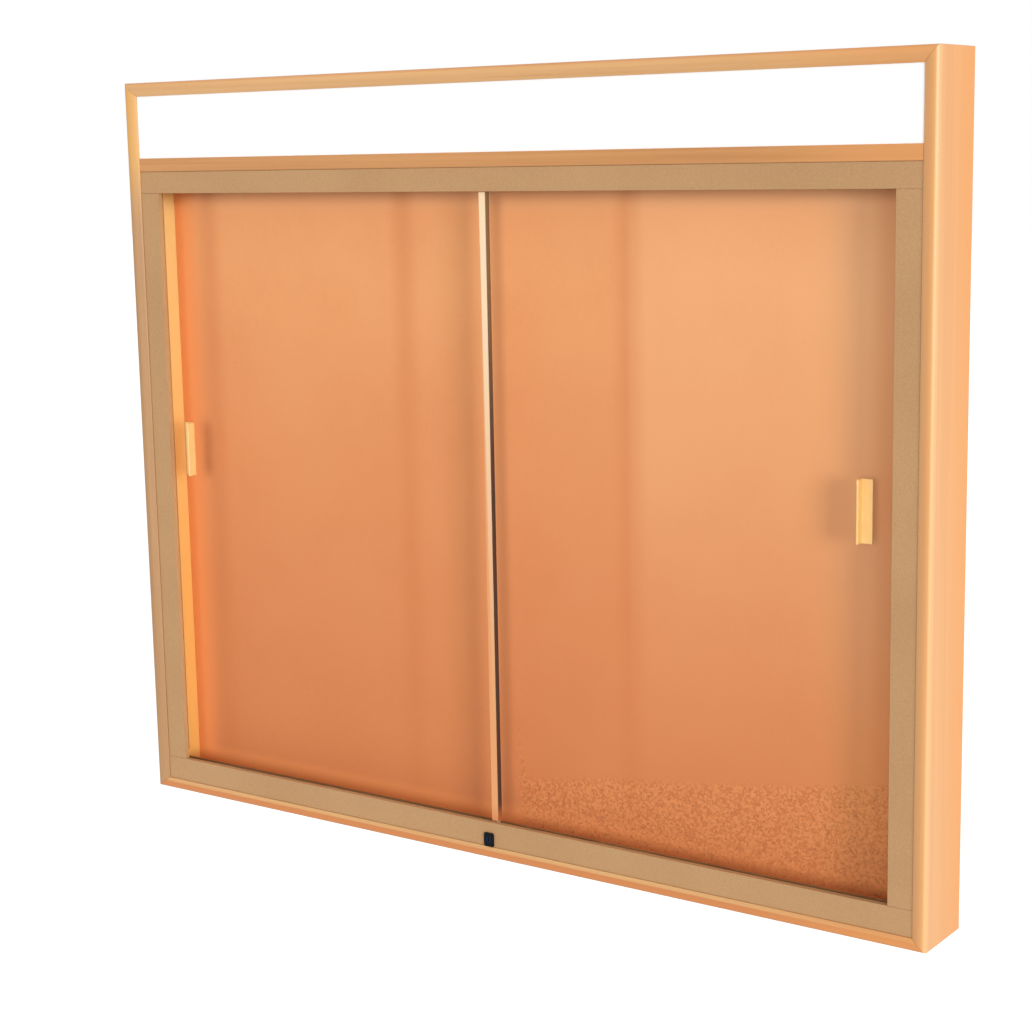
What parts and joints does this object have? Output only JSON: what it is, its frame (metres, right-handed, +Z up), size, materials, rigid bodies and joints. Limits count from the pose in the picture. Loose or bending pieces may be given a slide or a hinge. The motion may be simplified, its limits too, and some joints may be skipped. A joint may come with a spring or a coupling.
{
  "type": "lockable notice board",
  "caption": "Wall-hung wooden display case with a white header, cork back and sliding glass doors that a cam lock bolts shut.",
  "frame": {"origin": "centre of the flat back face that rests on the wall", "axes": "+X to the viewer's right along the width, +Y into the wall, +Z up; the doors face -Y"},
  "size_m": [1.219, 0.095, 1.016],
  "materials": {
    "case_wood": "light straight-grained hardwood, satin lacquer",
    "board_brown": "plain pressed fibreboard, unpainted",
    "rail_pine": "planed softwood, unpainted",
    "cork": "fine-grained natural cork sheet, matt",
    "header_white": "white laminate sheet, low gloss",
    "track_taupe": "extrusion with a taupe powder coat",
    "shoe_alloy": "mill-finish extrusion",
    "glide_nylon": "grey-brown nylon",
    "seal_rubber": "dark rubber",
    "door_glass": "clear toughened glass with ground edges",
    "pull_gold": "satin gold anodised",
    "edge_ivory": "ivory edge channel",
    "wheel_nylon": "white nylon",
    "lock_dark": "blue-black, satin",
    "zinc_steel": "zinc plated"
  },
  "bodies": {
    "case": {"back_board": "board_brown", "bottom_board": "case_wood", "bottom_track": "track_taupe", "bottom_track_screw_left": "zinc_steel", "bottom_track_screw_right": "zinc_steel", "cork_panel": "cork", "fibreboard_core": "board_brown", "front_glide_channel": "glide_nylon", "hanging_rail": "rail_pine", "header_divider": "case_wood", "header_panel": "header_white", "left_door_stop": "seal_rubber", "left_hanger": "zinc_steel", "left_hanger_screw_high": "zinc_steel", "left_hanger_screw_low": "zinc_steel", "left_jamb": "track_taupe", "left_jamb_screw_high": "zinc_steel", "left_jamb_screw_low": "zinc_steel", "left_jamb_seal": "seal_rubber", "left_side_board": "case_wood", "lock_body": "lock_dark", "lock_clip": "zinc_steel", "rear_glide_channel": "glide_nylon", "right_door_stop": "seal_rubber", "right_hanger": "zinc_steel", "right_hanger_screw_high": "zinc_steel", "right_hanger_screw_low": "zinc_steel", "right_jamb": "track_taupe", "right_jamb_screw_high": "zinc_steel", "right_jamb_screw_low": "zinc_steel", "right_jamb_seal": "seal_rubber", "right_side_board": "case_wood", "top_board": "case_wood", "top_track": "track_taupe", "top_track_screw_left": "zinc_steel", "top_track_screw_right": "zinc_steel"},
    "left_door": {"left_glass": "door_glass", "left_shoe": "shoe_alloy", "left_strike": "zinc_steel", "left_pull": "pull_gold", "left_edge_trim": "edge_ivory", "left_edge_seal": "seal_rubber", "left_door_left_axle": "zinc_steel", "left_door_right_axle": "zinc_steel"},
    "right_door": {"right_glass": "door_glass", "right_shoe": "shoe_alloy", "right_strike": "zinc_steel", "right_pull": "pull_gold", "right_door_left_axle": "zinc_steel", "right_door_right_axle": "zinc_steel"},
    "left_door_left_roller": {"left_door_left_wheel": "wheel_nylon"},
    "left_door_right_roller": {"left_door_right_wheel": "wheel_nylon"},
    "right_door_left_roller": {"right_door_left_wheel": "wheel_nylon"},
    "right_door_right_roller": {"right_door_right_wheel": "wheel_nylon"},
    "lock_key_plug": {"lock_plug": "lock_dark", "lock_cam": "zinc_steel"},
    "lock_fork": {"lock_bolt": "zinc_steel"}
  },
  "joints": [
    {"name": "left_door_slide", "type": "slide", "parent": "case", "child": "left_door", "axis": [1, 0, 0], "range_m": [0, 0.505]},
    {"name": "right_door_slide", "type": "slide", "parent": "case", "child": "right_door", "axis": [1, 0, 0], "range_m": [-0.505, 0]},
    {"name": "left_door_left_roller_spin", "type": "hinge", "parent": "left_door", "child": "left_door_left_roller", "pos_m": [-0.541, -0.077, -0.486], "axis": [0, 1, 0], "continuous": true},
    {"name": "left_door_right_roller_spin", "type": "hinge", "parent": "left_door", "child": "left_door_right_roller", "pos_m": [-0.0433, -0.077, -0.486], "axis": [0, 1, 0], "continuous": true},
    {"name": "right_door_left_roller_spin", "type": "hinge", "parent": "right_door", "child": "right_door_left_roller", "pos_m": [0.0233, -0.057, -0.486], "axis": [0, 1, 0], "continuous": true},
    {"name": "right_door_right_roller_spin", "type": "hinge", "parent": "right_door", "child": "right_door_right_roller", "pos_m": [0.541, -0.057, -0.486], "axis": [0, 1, 0], "continuous": true},
    {"name": "lock_turn", "type": "hinge", "parent": "case", "child": "lock_key_plug", "pos_m": [-0.009, -0.0885, -0.4847], "axis": [0, -1, 0], "range_deg": [0, 90]},
    {"name": "bolt_lift", "type": "slide", "parent": "case", "child": "lock_fork", "axis": [0, 0, 1], "range_m": [0, 0.00636]}
  ],
  "couplings": [
    {"joint": "left_door_left_roller_spin", "follows": "left_door_slide", "rad_per_m": 208.33},
    {"joint": "left_door_right_roller_spin", "follows": "left_door_slide", "rad_per_m": 208.33},
    {"joint": "right_door_left_roller_spin", "follows": "right_door_slide", "rad_per_m": 208.33},
    {"joint": "right_door_right_roller_spin", "follows": "right_door_slide", "rad_per_m": 208.33},
    {"joint": "lock_turn", "follows": "bolt_lift", "rad_per_m": 246.83}
  ]
}
